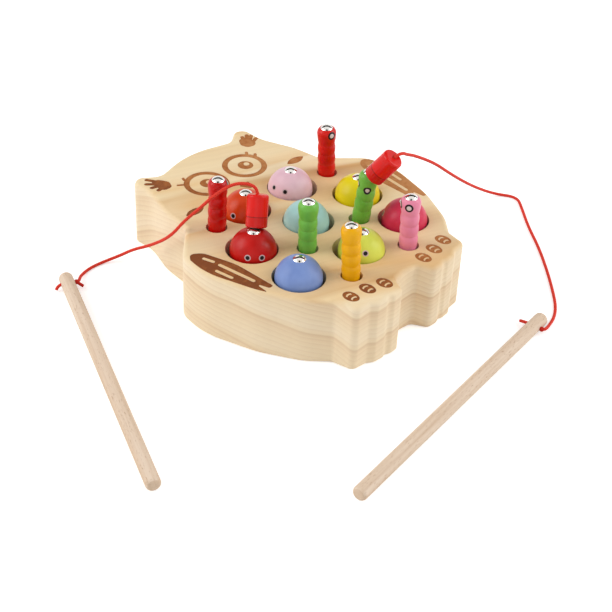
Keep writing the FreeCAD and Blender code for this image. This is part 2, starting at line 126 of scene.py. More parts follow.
class NodeSheet:
    """A node tree of a material, the world or a modifier while it is being laid out.

    An sRGB hex colour such as "#e6d2ad" may be given wherever a colour is asked for.
    """

    def __init__(self, tree: NodeTree) -> None:
        """Keep the tree and clear what Blender put in it."""
        self.tree = tree
        self.tree.nodes.clear()

    def add(self, kind: str, inputs: Optional[Dict[Any, Any]] = None, **settings: Any) -> Node:
        """Add a node with its settings and links.

        Args:
            kind: The node's Blender type.
            inputs: Socket name or number to an output socket, which is linked, or to a value.
            settings: Properties of the node itself.

        Returns:
            The new node.
        """
        node = self.tree.nodes.new(kind)
        for name, value in settings.items():
            setattr(node, name, value)
        for key, value in (inputs or {}).items():
            socket = node.inputs[key]
            if isinstance(value, Socket):
                self.tree.links.new(value, socket)
            elif isinstance(value, str) and value.startswith("#"):
                socket.default_value = linear(value)
            else:
                socket.default_value = value
        return node

    def first(self, kind: str, inputs: Optional[Dict[Any, Any]] = None, **settings: Any) -> Socket:
        """Add a node likewise, and give its first output."""
        return self.add(kind, inputs, **settings).outputs[0]

    def ramp(self, factor: Socket, stops: Sequence[Tuple[float, str]]) -> Socket:
        """Colour a value through a ramp.

        Args:
            factor: The value from 0 to 1.
            stops: Places and hex colours along the ramp.

        Returns:
            The ramp's colour socket.
        """
        node = self.add("ShaderNodeValToRGB", {"Fac": factor})
        elements = node.color_ramp.elements
        while len(elements) < len(stops):
            elements.new(0.5)
        for element, (place, colour) in zip(elements, stops):
            element.position = place
            element.color = linear(colour)
        return node.outputs["Color"]

    def mix(self, factor: Any, first: Any, second: Any, blend: str = "MIX") -> Socket:
        """Mix two colours.

        Args:
            factor: Share of the second colour, a number or a socket.
            first: First colour or socket.
            second: Second colour or socket.
            blend: Blend mode.

        Returns:
            The mixed colour's socket.
        """
        node = self.add("ShaderNodeMix", {0: factor, 6: first, 7: second}, data_type="RGBA",
                        blend_type=blend)
        return node.outputs[2]

    def calc(self, operation: str, *values: Any, clamp: bool = False) -> Socket:
        """Work out a number from up to three numbers or sockets, kept from 0 to 1 on demand."""
        return self.first("ShaderNodeMath", dict(enumerate(values)), operation=operation,
                          use_clamp=clamp)

    def times(self, first: Any, second: Any) -> Socket:
        """Multiply two numbers or sockets."""
        return self.calc("MULTIPLY", first, second)

    def vector(self, operation: str, first: Any, second: Any) -> Socket:
        """Work out a vector, or the number of a distance or dot product.

        Args:
            operation: The operation's Blender name.
            first: A vector or socket.
            second: A second one, or the factor of a scaling.

        Returns:
            The result's socket.
        """
        place = 3 if operation == "SCALE" else 1
        node = self.add("ShaderNodeVectorMath", {0: first, place: second}, operation=operation)
        return node.outputs["Value" if operation in ("DISTANCE", "DOT_PRODUCT") else "Vector"]

    def noise(self, place: Socket, scale: Any, detail: float, rough: float = 0.5,
              output: str = "Fac") -> Socket:
        """Read a noise texture.

        Args:
            place: The coordinates that it is read at.
            scale: One scale, or three where the texture is stretched.
            detail: How many finer layers it has.
            rough: How strong the finer layers are.
            output: The socket that is read.

        Returns:
            The noise's socket.
        """
        if isinstance(scale, tuple):
            place = self.first("ShaderNodeMapping", {"Vector": place, "Scale": scale})
            scale = 1.0
        values = {"Vector": place, "Scale": scale, "Detail": detail, "Roughness": rough}
        return self.add("ShaderNodeTexNoise", values).outputs[output]

    def spread(self, value: Socket, low: Any, high: Any, start: float = 0.0,
               end: float = 1.0) -> Socket:
        """Spread a value that runs from start to end over low to high, and keep it there."""
        return self.first("ShaderNodeMapRange", {
            "Value": value, "From Min": start, "From Max": end, "To Min": low, "To Max": high})

    def bump(self, height: Socket, strength: float, distance: float = 0.2) -> Socket:
        """Turn a height into a normal; the distance is its full height in millimetres."""
        values = {"Height": height, "Strength": strength, "Distance": distance * MM}
        return self.first("ShaderNodeBump", values)

    def show(self, kind: str, inputs: Dict[Any, Any]) -> None:
        """End a material with a shader of that kind."""
        self.add("ShaderNodeOutputMaterial", {"Surface": self.first(kind, inputs)})

    def wear(self, shape: Socket, material: Socket) -> NodeTree:
        """End a Geometry Nodes group with real meshes that wear a material.

        Args:
            shape: The shape's geometry socket.
            material: The material's socket.

        Returns:
            The group.
        """
        whole = self.first("GeometryNodeRealizeInstances", {"Geometry": shape})
        worn = self.first("GeometryNodeSetMaterial", {"Geometry": whole, "Material": material})
        self.add("NodeGroupOutput", {"Geometry": worn})
        return self.tree


def blank_material(title: str) -> Tuple[Material, NodeSheet]:
    """Start a material with an empty node sheet.

    Args:
        title: The material's name.

    Returns:
        The material and its node sheet.
    """
    material = bpy.data.materials.new(title)
    material.use_nodes = True
    return material, NodeSheet(material.node_tree)


class Finish:
    """A surface finish. Each kind lays out its own material."""

    title: str

    def start(self) -> Tuple[Material, NodeSheet, Socket]:
        """Start the material, and give it, its node sheet and the object's coordinates."""
        material, sheet = blank_material(self.title)
        return material, sheet, sheet.add("ShaderNodeTexCoord").outputs["Object"]

    def make(self) -> Material:
        """Make the material; each kind of finish has its own way."""
        raise NotImplementedError


@dataclass(frozen=True)
class SandedPine(Finish):
    """Solid radiata pine, sanded and bare, with marks burnt into it.

    Pine gives the eye broad cream and honey bands, about 21 mm apart: each darkens slowly and ends
    at a late-wood line. The flat top has honey patches. The upright sides are painted paler, as
    painted light that they catch, and have close hairlines. The laser leaves flat brown marks
    with a slightly mottled floor.

    A stretch is a texture's scale along the grain and across it; a share is how much a feature
    shows. The marks are painted paler along X by the metre, as a painted sheen.
    """

    title: str = "pine_sanded"
    pale: str = "#efddbc"
    body: str = "#ead3a9"
    band: str = "#e1c091"
    late_wood: str = "#cfa46c"
    painted_side_light: str = "#f0e0c8"
    burnt: str = "#a3622f"
    burnt_dark: str = "#7d431d"
    burnt_pale: str = "#bd8450"
    ring_pitch: float = 21.0
    hairline_pitch: float = 3.1
    ring_bend: float = 20.0
    grain_turn: float = 22.0
    ring_centre: Point = (0.0, -22.0, -132.0)
    bend_stretch: Point = (4.0, 11.0, 11.0)
    calm_stretch: Point = (5.0, 16.0, 16.0)
    honey_stretch: Point = (3.2, 24.0, 24.0)
    streak_stretch: Point = (14.0, 420.0, 420.0)
    calm_share: Tuple[float, float] = (0.05, 0.75)
    streak_share: float = 0.16
    painted_side_light_share: float = 0.40
    hairline_share: float = 0.42
    mark_floor: float = 44.7
    mark_slack: float = 0.18
    painted_mark_sheen: float = 2.2
    bare_roughness: float = 0.52
    mark_roughness: float = 0.25

    def rings(self, sheet: NodeSheet, grain: Socket, pitch: float) -> Socket:
        """Lay rings as wide tubes along the grain, gently bent.

        Args:
            sheet: The material's node sheet.
            grain: Coordinates with X along the grain, centred on the tree's heart.
            pitch: Distance from ring to ring in millimetres.

        Returns:
            A value that grows from 0 to 1 across each ring.
        """
        wander = sheet.noise(grain, self.bend_stretch, 2.0, output="Color")
        centred = sheet.vector("SUBTRACT", wander, (0.5, 0.5, 0.5))
        bent = sheet.vector("ADD", grain, sheet.vector("SCALE", centred, self.ring_bend * MM))
        values = {"Vector": bent, "Scale": WAVE_PERIOD / (pitch * MM), "Distortion": 0.0}
        wave = sheet.add("ShaderNodeTexWave", values, wave_type="RINGS", rings_direction="X",
                         wave_profile="SAW")
        return wave.outputs["Fac"]

    def bands(self, sheet: NodeSheet, grain: Socket) -> Socket:
        """Lay the broad bands of the year rings, calmer in places.

        Args:
            sheet: The material's node sheet.
            grain: Coordinates with X along the grain.

        Returns:
            The wood's colour socket.
        """
        colour = sheet.ramp(self.rings(sheet, grain, self.ring_pitch),
                            [(0.0, self.body), (0.16, self.pale), (0.50, self.body),
                             (0.84, self.band), (0.93, self.late_wood), (1.0, self.body)])
        cloud = sheet.noise(grain, self.calm_stretch, 2.0)
        calm = sheet.spread(cloud, *self.calm_share, start=0.32, end=0.66)
        return sheet.mix(calm, colour, self.body)

    def marks(self, sheet: NodeSheet, place: Socket, facing: Socket) -> Tuple[Socket, Socket]:
        """Find the burnt marks by their own depth under the top.

        Args:
            sheet: The material's node sheet.
            place: Object coordinates.
            facing: How far up the surface faces.

        Returns:
            The marks' mask and the brown of their floor, painted paler along X as a sheen.
        """
        where = sheet.add("ShaderNodeSeparateXYZ", {0: place}).outputs
        level = sheet.calc("COMPARE", where["Z"], self.mark_floor * MM, self.mark_slack * MM)
        mask = sheet.times(level, sheet.calc("GREATER_THAN", facing, 0.99))
        depth = sheet.calc("ADD", sheet.times(sheet.noise(place, 260.0, 3.0), 0.40),
                           sheet.times(sheet.noise(place, 22.0, 1.0), 0.45))
        # painted sheen: the marks grow paler along X, standing in for the far lamp's sheen on them
        depth = sheet.calc("ADD", depth, sheet.times(where["X"], self.painted_mark_sheen))
        browns = [(0.28, self.burnt_dark), (0.46, self.burnt), (0.66, self.burnt_pale)]
        return mask, sheet.ramp(depth, browns)

    def make(self) -> Material:
        """Lay out the wood's rings, patches, streaks, painted side light, hairlines and marks.

        Returns:
            The material.
        """
        material, sheet, place = self.start()
        turn = (0.0, 0.0, math.radians(self.grain_turn))
        heart = [-c * MM for c in self.ring_centre]
        grain = sheet.first("ShaderNodeMapping", {
            "Vector": place, "Location": heart, "Rotation": turn})
        normal = sheet.add("ShaderNodeNewGeometry").outputs["True Normal"]
        facing = sheet.add("ShaderNodeSeparateXYZ", {0: normal}).outputs["Z"]
        level = sheet.calc("ABSOLUTE", facing, clamp=True)
        upright = sheet.calc("SUBTRACT", 1.0, sheet.calc("ABSOLUTE", facing), clamp=True)

        colour = self.bands(sheet, grain)
        honey = sheet.ramp(sheet.noise(grain, self.honey_stretch, 0.0),
                           [(0.36, WHITE), (0.53, "#f8ebd8"), (0.56, WHITE), (0.72, "#faf0e2")])
        colour = sheet.mix(level, colour, honey, "MULTIPLY")
        streak = sheet.noise(grain, self.streak_stretch, 4.0, 0.6)
        line = sheet.ramp(streak, [(0.30, "#ddd3c6"), (0.60, WHITE)])
        colour = sheet.mix(self.streak_share, colour, line, "MULTIPLY")
        # painted light: every upright face is mixed toward a pale cream, standing in for the light
        # the sides catch
        colour = sheet.mix(sheet.times(upright, self.painted_side_light_share), colour, self.painted_side_light)
        hair = sheet.ramp(self.rings(sheet, grain, self.hairline_pitch),
                          [(0.0, WHITE), (0.6, "#f6ece2"), (0.9, "#dcc6b0"), (1.0, WHITE)])
        shown = sheet.times(upright, sheet.noise(place, 30.0, 1.0))
        colour = sheet.mix(sheet.times(shown, self.hairline_share), colour, hair, "MULTIPLY")
        marked, brown = self.marks(sheet, place, facing)
        colour = sheet.mix(marked, colour, brown)
        rough = sheet.calc("ADD", self.bare_roughness, sheet.times(marked, self.mark_roughness))
        sheet.show(PRINCIPLED, {
            "Base Color": colour, "Roughness": rough, "Normal": sheet.bump(streak, 0.08),
            "Specular IOR Level": 0.28, "IOR": 1.5})
        return material


@dataclass(frozen=True)
class Eye:
    """One printed eye: its centre on the surface in millimetres and its style."""

    centre: Point
    style: EyeStyle


@dataclass(frozen=True)
class SatinPaint(Finish):
    """Water-based satin toy paint, dipped on turned wood, with printed eyes.

    It gives the eye an even colour with a broad soft sheen, and a faint ripple where the wood's
    grain lifts under it.
    """

    title: str
    colour: str
    shade: str
    roughness: float
    eyes: Tuple[Eye, ...]
    eye_edge: float = 0.06
    ripple_stretch: Point = (900.0, 900.0, 120.0)

    def print_eye(self, sheet: NodeSheet, place: Socket, eye: Eye, colour: Socket) -> Socket:
        """Print an eye over the paint.

        Args:
            sheet: The material's node sheet.
            place: Object coordinates.
            eye: The eye to print.
            colour: The paint's colour so far.

        Returns:
            The colour with the eye on it.
        """
        away = sheet.vector("DISTANCE", place, metres(eye.centre))
        for radius, ink in EYE_INKS[eye.style]:
            mask = sheet.spread(away, 1.0, 0.0, (radius - self.eye_edge) * MM,
                                (radius + self.eye_edge) * MM)
            colour = sheet.mix(mask, colour, ink)
        return colour

    def make(self) -> Material:
        """Lay out the paint's colour, its ripple and the eyes.

        Returns:
            The material.
        """
        material, sheet, place = self.start()
        cloud = sheet.noise(place, 90.0, 2.0)
        colour = sheet.ramp(cloud, [(0.30, self.shade), (0.60, self.colour)])
        for eye in self.eyes:
            colour = self.print_eye(sheet, place, eye, colour)
        ripple = sheet.noise(place, self.ripple_stretch, 3.0)
        rough = sheet.spread(cloud, self.roughness - 0.05, self.roughness + 0.07)
        sheet.show(PRINCIPLED, {
            "Base Color": colour, "Roughness": rough, "Normal": sheet.bump(ripple, 0.10),
            "Specular IOR Level": 0.25, "IOR": 1.48})
        return material


@dataclass(frozen=True)
class PlatedSteel(Finish):
    """Pressed steel with bright nickel plate: a clear mirror with the finest brushing."""

    title: str = "steel_nickel_plated"
    colour: str = "#ece9e4"
    shade: str = "#dedad4"
    roughness: Tuple[float, float] = (0.08, 0.17)

    def make(self) -> Material:
        """Lay out the plate's colour and its fine unevenness.

        Returns:
            The material.
        """
        material, sheet, place = self.start()
        haze = sheet.noise(place, 700.0, 2.0)
        tint = sheet.ramp(haze, [(0.3, self.shade), (0.6, self.colour)])
        rough = sheet.spread(haze, *self.roughness)
        sheet.show(PRINCIPLED, {"Base Color": tint, "Metallic": 1.0, "Roughness": rough})
        return material


@dataclass(frozen=True)
class TurnedBeech(Finish):
    """Bare beech dowel: pale pink-beige with long fine lines and short darker flecks.

    Its sawn ends are darker. The heading is the dowel's direction in degrees.
    """

    title: str
    heading: float
    colour: str = "#dfcab4"
    line: str = "#cfb397"
    fleck: str = "#c3a487"
    sawn: str = "#cbb094"
    line_stretch: Point = (11.0, 420.0, 420.0)
    fleck_stretch: Point = (330.0, 1500.0, 1500.0)
    fleck_share: float = 0.5
    sawn_share: float = 0.6

    def make(self) -> Material:
        """Lay out the lines along the dowel, the ray flecks and the sawn ends.

        Returns:
            The material.
        """
        material, sheet, place = self.start()
        turn = (0.0, 0.0, -math.radians(self.heading))
        along = sheet.first("ShaderNodeMapping", {"Vector": place, "Rotation": turn})
        lines = sheet.noise(along, self.line_stretch, 4.0, 0.55)
        colour = sheet.ramp(lines, [(0.28, self.line), (0.62, self.colour)])
        dots = sheet.ramp(sheet.noise(along, self.fleck_stretch, 2.0),
                          [(0.30, self.fleck), (0.40, WHITE)])
        colour = sheet.mix(self.fleck_share, colour, dots, "MULTIPLY")
        normal = place.node.outputs["Normal"]
        turned = sheet.first("ShaderNodeMapping", {"Vector": normal, "Rotation": turn})
        ahead = sheet.add("ShaderNodeSeparateXYZ", {0: turned}).outputs["X"]
        end = sheet.calc("GREATER_THAN", sheet.calc("ABSOLUTE", ahead), 0.80)
        colour = sheet.mix(sheet.times(end, self.sawn_share), colour, self.sawn)
        sheet.show(PRINCIPLED, {
            "Base Color": colour, "Roughness": 0.6, "Normal": sheet.bump(lines, 0.10),
            "Specular IOR Level": 0.28, "IOR": 1.5})
        return material


@dataclass(frozen=True)
class MouldedPlastic(Finish):
    """Injection-moulded red ABS from a polished tool: saturated, with a tight highlight.

    Where the two shells meet, at the seam, a dark line across the axis is painted shade of the
    fine groove between them. The groove is half that line's width.
    """

    title: str
    seam: Point
    axis: Point
    colour: str = "#de150c"
    flow: str = "#d0110a"
    shadow: str = "#7c0805"
    roughness: float = 0.24
    groove: float = 0.30
    seam_shade_share: float = 0.75

    def make(self) -> Material:
        """Lay out the plastic's colour, its faint sink marks and the painted shade line at the
        seam.

        Returns:
            The material.
        """
        material, sheet, place = self.start()
        flow = sheet.noise(place, 130.0, 1.0)
        colour = sheet.ramp(flow, [(0.2, self.flow), (0.7, self.colour)])
        rise = sheet.vector("SUBTRACT", place, metres(self.seam))
        rise = sheet.vector("DOT_PRODUCT", rise, self.axis)
        # painted shade: a dark line at the seam stands in for the shade in the groove between the
        # shells
        groove = sheet.calc("COMPARE", rise, 0.0, self.groove * MM)
        colour = sheet.mix(sheet.times(groove, self.seam_shade_share), colour, self.shadow)
        sheet.show(PRINCIPLED, {
            "Base Color": colour, "Roughness": self.roughness,
            "Normal": sheet.bump(flow, 0.06, 0.3), "Specular IOR Level": 0.23, "IOR": 1.54})
        return material


@dataclass(frozen=True)
class SinteredMagnet(Finish):
    """Sintered ferrite disc: matt charcoal grey with a fine dark grit."""

    title: str = "ferrite_sintered"
    dark: str = "#2c2322"
    pale: str = "#514543"

    def make(self) -> Material:
        """Lay out the grit.

        Returns:
            The material.
        """
        material, sheet, place = self.start()
        colour = sheet.ramp(sheet.noise(place, 2400.0, 2.0), [(0.3, self.dark), (0.7, self.pale)])
        sheet.show(PRINCIPLED, {"Base Color": colour, "Roughness": 0.62, "Metallic": 0.35})
        return material


@dataclass(frozen=True)
class KnittedCord(Finish):
    """Knitted polyester cord: soft, without gloss, with painted shade where its stitches sink in.

    The knit stands out by geometry; its depth comes with the mesh as an attribute named knit.
    """

    title: str = "polyester_cord_knitted"
    colour: str = "#e03f2f"
    painted_valley_shade: str = "#bb2418"
    knit_shade_share: float = 0.8
    fuzz_share: float = 0.3

    def make(self) -> Material:
        """Lay out the yarn's colour, with painted shade by the depth of the knit.

        Returns:
            The material.
        """
        material, sheet, place = self.start()
        depth = sheet.add("ShaderNodeAttribute", attribute_name="knit").outputs["Fac"]
        fuzz = sheet.noise(place, 2600.0, 2.0)
        # painted shade: the yarn is darker in the knit's valleys, mixed with a random fuzz of tone
        raised = sheet.calc("ADD", sheet.times(depth, self.knit_shade_share),
                            sheet.times(fuzz, self.fuzz_share))
        colour = sheet.ramp(raised, [(0.15, self.painted_valley_shade), (0.65, self.colour)])
        sheet.show(PRINCIPLED, {
            "Base Color": colour, "Roughness": 0.82, "Sheen Weight": 0.08,
            "Sheen Roughness": 0.4, "Specular IOR Level": 0.2})
        return material


def dress(node: str, material: Material) -> None:
    """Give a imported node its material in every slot, and report it.

    Args:
        node: The node's name.
        material: The material it gets.
    """
    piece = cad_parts[node]
    if not piece.material_slots:
        piece.data.materials.append(material)
    for slot in piece.material_slots:
        slot.material = material
    LOG.info("%s wears %s", node, material.name)


def growing(name: str, values: Dict[str, Any]) -> Tuple[NodeSheet, Any]:
    """Start a Geometry Nodes group that has an input for each value.

    Args:
        name: The group's name.
        values: Numbers and materials by the inputs' names.

    Returns:
        The group's node sheet and its inputs by name.
    """
    tree = bpy.data.node_groups.new(name, "GeometryNodeTree")
    tree.interface.new_socket("Geometry", in_out="INPUT", socket_type="NodeSocketGeometry")
    for title, value in values.items():
        kind = {int: "Int", float: "Float"}.get(type(value), "Material")
        tree.interface.new_socket(title, in_out="INPUT", socket_type="NodeSocket" + kind)
    tree.interface.new_socket("Geometry", in_out="OUTPUT", socket_type="NodeSocketGeometry")
    sheet = NodeSheet(tree)
    return sheet, sheet.add("NodeGroupInput").outputs


def grown(base: Mesh, tree: NodeTree, values: Dict[str, Any], name: str) -> Object:
    """Run Geometry Nodes on a mesh and keep the result as a plain object.

    Args:
        base: The mesh that the nodes start from.
        tree: The node group.
        values: The group's inputs by name.
        name: The new object's name.

    Returns:
        An object with a plain mesh and no modifier.
    """
    holder = placed(base.name, base)
    modifier = holder.modifiers.new("growing", "NODES")
    modifier.node_group = tree
    for item in tree.interface.items_tree:
        if item.item_type == "SOCKET" and item.in_out == "INPUT" and item.name in values:
            modifier[item.identifier] = values[item.name]
    bpy.context.view_layer.update()
    graph = bpy.context.evaluated_depsgraph_get()
    mesh = bpy.data.meshes.new_from_object(holder.evaluated_get(graph))
    mesh.name = name
    bpy.data.objects.remove(holder)
    return placed(name, mesh)


@dataclass
class OwlBlock:
    """The owl-shaped block with its holes and burnt marks."""

    node: str = "board"
    finish: SandedPine = SandedPine()

    def build(self) -> None:
        """Dress the block; its wood finds the marks by their depth."""
        dress(self.node, self.finish.make())


@dataclass
class PaintedPiece:
    """A turned and painted piece that stands in one of the block's holes."""

    kind: ClassVar[str]
    roughness: ClassVar[float]
    name: str
    colour: str
    shade: str

    def eye_points(self) -> Tuple[Eye, ...]:
        """Place the piece's eyes; each kind of piece has its own way."""
        raise NotImplementedError

    def build(self) -> None:
        """Paint the piece."""
        node = self.kind + "_" + self.name
        paint = SatinPaint(title="satin_paint_" + node, colour=self.colour, shade=self.shade,
                           roughness=self.roughness, eyes=self.eye_points())
        dress(node, paint.make())


@dataclass
class DomedBird(PaintedPiece):
    """One domed bird, with the eyes printed low on its dome.

    Each eye is given by its direction and height in degrees. The radius is the dome's, the land
    that of the small flat on its top.
    """

    kind = "bird"
    roughness = 0.34
    eyes: Tuple[Tuple[float, float], ...] = ()
    radius: float = 14.4
    land: float = 4.3

    def eye_points(self) -> Tuple[Eye, ...]:
        """Place each eye on the dome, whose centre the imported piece's box gives.

        Returns:
            The eyes.
        """
        low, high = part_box(self.kind + "_" + self.name)
        rise = math.sqrt(self.radius ** 2 - self.land ** 2)
        centre = Vector(((low.x + high.x) / 2.0 / MM, (low.y + high.y) / 2.0 / MM,
                         high.z / MM - rise))
        found = []
        for around, up in self.eyes:
            a = math.radians(around)
            e = math.radians(up)
            way = Vector((math.cos(a) * math.cos(e), math.sin(a) * math.cos(e), math.sin(e)))
            found.append(Eye(tuple(centre + way * self.radius), EyeStyle.DOT))
        return tuple(found)


@dataclass
class RingedWorm(PaintedPiece):
    """One turned worm, with those of its ringed eyes that the photograph shows."""

    kind = "worm"
    roughness = 0.28
    eyes: Tuple[Point, ...] = ()

    def eye_points(self) -> Tuple[Eye, ...]:
        """Give the eyes' places on the worm's side."""
        return tuple(Eye(place, EyeStyle.RING) for place in self.eyes)


@dataclass(frozen=True)
class Stand:
    """Where a tack's head sits, in millimetres, and which way it points."""

    place: Point
    way: Point = (0.0, 0.0, 1.0)


@dataclass
class SteelTacks:
    """The domed tacks of one set, spun smooth so that they mirror the room as steel does."""

    node: str
    stands: Tuple[Stand, ...]
    plate: Material
    head_radius: float = 4.0
    rise: float = 1.8
    shank_radius: float = 0.7
    shank_length: float = 6.0
    tip_length: float = 2.0
    segments: int = 48
    rings: int = 12
    shank_segments: int = 12
    weld: float = 0.001

    def sizes(self) -> Dict[str, Any]:
        """Work out the tree's inputs, in metres and radians.

        Returns:
            The inputs by name.
        """
        ball = (self.head_radius ** 2 + self.rise ** 2) / (2.0 * self.rise)
        cap = math.asin(self.head_radius / ball)
        return {"Ball": ball * MM, "Rise": self.rise * MM, "Cap": cap,
                "Head Radius": self.head_radius * MM, "Shank Radius": self.shank_radius * MM,
                "Shank Length": self.shank_length * MM, "Tip Length": self.tip_length * MM,
                "Segments": self.segments, "Rings": self.rings, "Plate": self.plate}

    def dome(self, sheet: NodeSheet, given: Any) -> Socket:
        """Bend a grid into the head's dome.

        Args:
            sheet: The tree's node sheet.
            given: The tree's inputs.

        Returns:
            The dome's geometry socket.
        """
        grid = sheet.first("GeometryNodeMeshGrid", {
            "Size X": 1.0, "Size Y": 1.0, "Vertices X": sheet.calc("ADD", given["Segments"], 1),
            "Vertices Y": sheet.calc("ADD", given["Rings"], 1)})
        spot = sheet.first("GeometryNodeInputPosition")
        flat = sheet.add("ShaderNodeSeparateXYZ", {0: spot}).outputs
        turn = sheet.times(flat["X"], -2.0 * math.pi)
        fall = sheet.times(sheet.calc("ADD", flat["Y"], 0.5), given["Cap"])
        reach = sheet.times(sheet.calc("SINE", fall), given["Ball"])
        sink = sheet.calc("SUBTRACT", sheet.calc("COSINE", fall), 1.0)
        spun = sheet.first("ShaderNodeCombineXYZ", {
            "X": sheet.times(reach, sheet.calc("COSINE", turn)),
            "Y": sheet.times(reach, sheet.calc("SINE", turn)),
            "Z": sheet.calc("ADD", sheet.times(sink, given["Ball"]), given["Rise"])})
        bent = sheet.first("GeometryNodeSetPosition", {"Geometry": grid, "Position": spun})
        shut = sheet.first("GeometryNodeMergeByDistance", {
            "Geometry": bent, "Distance": self.weld * MM})
        return sheet.first("GeometryNodeSetShadeSmooth", {"Geometry": shut, "Shade Smooth": True})

    def pressing(self) -> NodeTree:
        """Lay out the Geometry Nodes that press one tack and stand a copy at each point.

        Returns:
            The node group, with inputs for the tack's sizes, its facets and its plate.
        """
        sheet, given = growing("pressed_" + self.node, self.sizes())
        under = sheet.first("GeometryNodeMeshCircle", {
            "Vertices": given["Segments"], "Radius": given["Head Radius"]}, fill_type="NGON")
        under = sheet.first("GeometryNodeFlipFaces", {0: under})
        shank = sheet.first("GeometryNodeMeshCylinder", {
            "Vertices": self.shank_segments, "Radius": given["Shank Radius"],
            "Depth": given["Shank Length"]})
        half = sheet.times(given["Shank Length"], -0.5)
        shank = sheet.first("GeometryNodeTransform", {
            "Geometry": shank, "Translation": sheet.first("ShaderNodeCombineXYZ", {"Z": half})})
        tip = sheet.first("GeometryNodeMeshCone", {
            "Vertices": self.shank_segments, "Radius Top": 0.0,
            "Radius Bottom": given["Shank Radius"], "Depth": given["Tip Length"]})
        foot = sheet.times(given["Shank Length"], -1.0)
        tip = sheet.first("GeometryNodeTransform", {
            "Geometry": tip, "Translation": sheet.first("ShaderNodeCombineXYZ", {"Z": foot}),
            "Rotation": (math.pi, 0.0, 0.0)})
        tack = sheet.add("GeometryNodeJoinGeometry")
        for piece in (self.dome(sheet, given), under, shank, tip):
            sheet.tree.links.new(piece, tack.inputs[0])
        way = sheet.first("GeometryNodeInputNamedAttribute", {"Name": "way"},
                          data_type="FLOAT_VECTOR")
        tilt = sheet.first("FunctionNodeAlignRotationToVector", {"Vector": way}, axis="Z")
        copies = sheet.first("GeometryNodeInstanceOnPoints", {
            "Points": given["Geometry"], "Instance": tack.outputs[0], "Rotation": tilt})
        return sheet.wear(copies, given["Plate"])

    def build(self) -> None:
        """Press the set of tacks and put it in the place of its solids."""
        points = bpy.data.meshes.new(self.node + "_points")
        points.from_pydata([tuple(metres(s.place)) for s in self.stands], [], [])
        ways = points.attributes.new("way", "FLOAT_VECTOR", "POINT")
        for item, stand in zip(ways.data, self.stands):
            item.vector = stand.way
        tacks = grown(points, self.pressing(), self.sizes(), "pressed_" + self.node)
        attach(tacks, "root")
        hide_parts(self.node)
        LOG.info("%s has %d faces", tacks.name, len(tacks.data.polygons))


@dataclass
class FishingRod:
    """A round rod with its grain along it; the heading is its direction in degrees."""

    side: Side
    heading: float

    def build(self) -> None:
        """Dress the rod."""
        wood = TurnedBeech(title=named("beech_dowel", self.side), heading=self.heading)
        dress(named("rod", self.side), wood.make())


@dataclass
class MagnetCapsule:
    """A capsule of two plastic shells with its magnet and the knot inside it.

    The seam is a point where the shells meet, and the axis points to the cord.
    """

    side: Side
    seam: Point
    axis: Point
    ferrite: Material
    yarn: Material

    def build(self) -> None:
        """Dress the shells, the magnet and the knot; the lower shell is a shade deeper."""
        upper = MouldedPlastic(title=named("abs_upper", self.side), seam=self.seam, axis=self.axis)
        lower = MouldedPlastic(title=named("abs_lower", self.side), colour="#cf140b",
                               flow="#c21008", seam=self.seam, axis=self.axis)
        finishes = (upper.make(), lower.make(), self.ferrite, self.yarn)
        for part, material in zip(CAPSULE_PARTS, finishes):
            dress(named(part, self.side), material)


